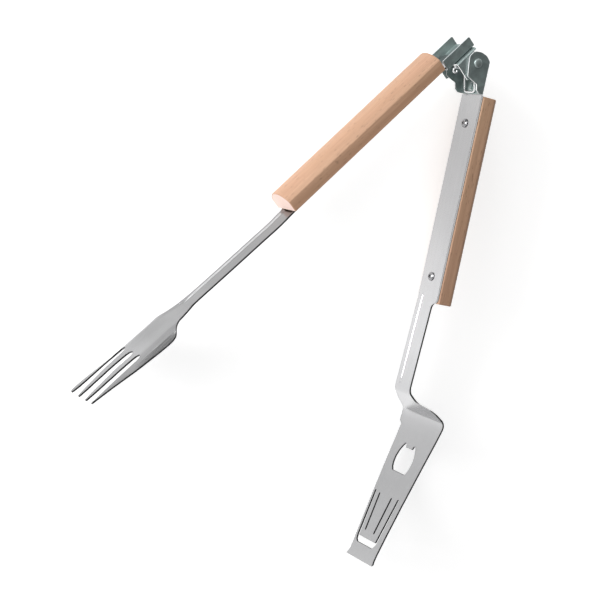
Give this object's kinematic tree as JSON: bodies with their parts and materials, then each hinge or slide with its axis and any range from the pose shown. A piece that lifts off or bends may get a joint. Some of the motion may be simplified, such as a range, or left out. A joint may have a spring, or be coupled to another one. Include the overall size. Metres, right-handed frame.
{
  "type": "folding barbecue tongs with fork and turner arms",
  "caption": "Folding barbecue tongs: a tined roasting fork arm and a slotted turner arm with an opener hole, wooden grips and a sprung sheet-metal hinge.",
  "frame": {"origin": "centre of the bounding box's bottom face; the tongs lie on their side and rest on the edge of the turner blade", "axes": "+Y towards the hinge along the longest side of the box, +X towards the turner arm's wooden grip, +Z along the hinge axis, towards the hinge rivet's preformed head"},
  "size_m": [0.2724, 0.386, 0.0553],
  "materials": {
    "stainless": "fine satin along the arm, polished by the press on the bends",
    "plated_sheet": "grey-green passivated plating, half matt, bright at the sheared edges",
    "bright_steel": "bright plated",
    "spring_wire": "bright drawn wire",
    "beech": "sanded and oiled beech, satin"
  },
  "bodies": {
    "turner_arm": {"turner": "stainless", "turner_handle": "beech", "turner_screw_upper": "bright_steel", "turner_screw_lower": "bright_steel", "turner_bracket": "plated_sheet", "turner_rivet_lower": "bright_steel", "turner_rivet_upper": "bright_steel", "hinge_rivet": "bright_steel", "hinge_washer": "bright_steel", "hinge_bush": "bright_steel", "torsion_spring": "spring_wire"},
    "fork_joint": {"fork_bracket": "plated_sheet", "fork_socket": "plated_sheet", "socket_rivet_outer": "bright_steel", "socket_rivet_inner": "bright_steel", "spring_leg_upper": "spring_wire", "spring_leg_lower": "spring_wire"},
    "fork_tool": {"fork": "stainless", "fork_handle": "beech", "fork_screw_upper": "bright_steel", "fork_screw_lower": "bright_steel"}
  },
  "joints": [
    {"name": "arm_hinge", "type": "hinge", "parent": "turner_arm", "child": "fork_joint", "pos_m": [0.10412, 0.17627, 0.03], "axis": [0, 0, 1], "range_deg": [0, 40], "stiffness_Nm_per_rad": 0.35},
    {"name": "fork_pull", "type": "slide", "parent": "fork_joint", "child": "fork_tool", "axis": [-0.6179, -0.7863, 0], "range_m": [0, 0.04]}
  ]
}
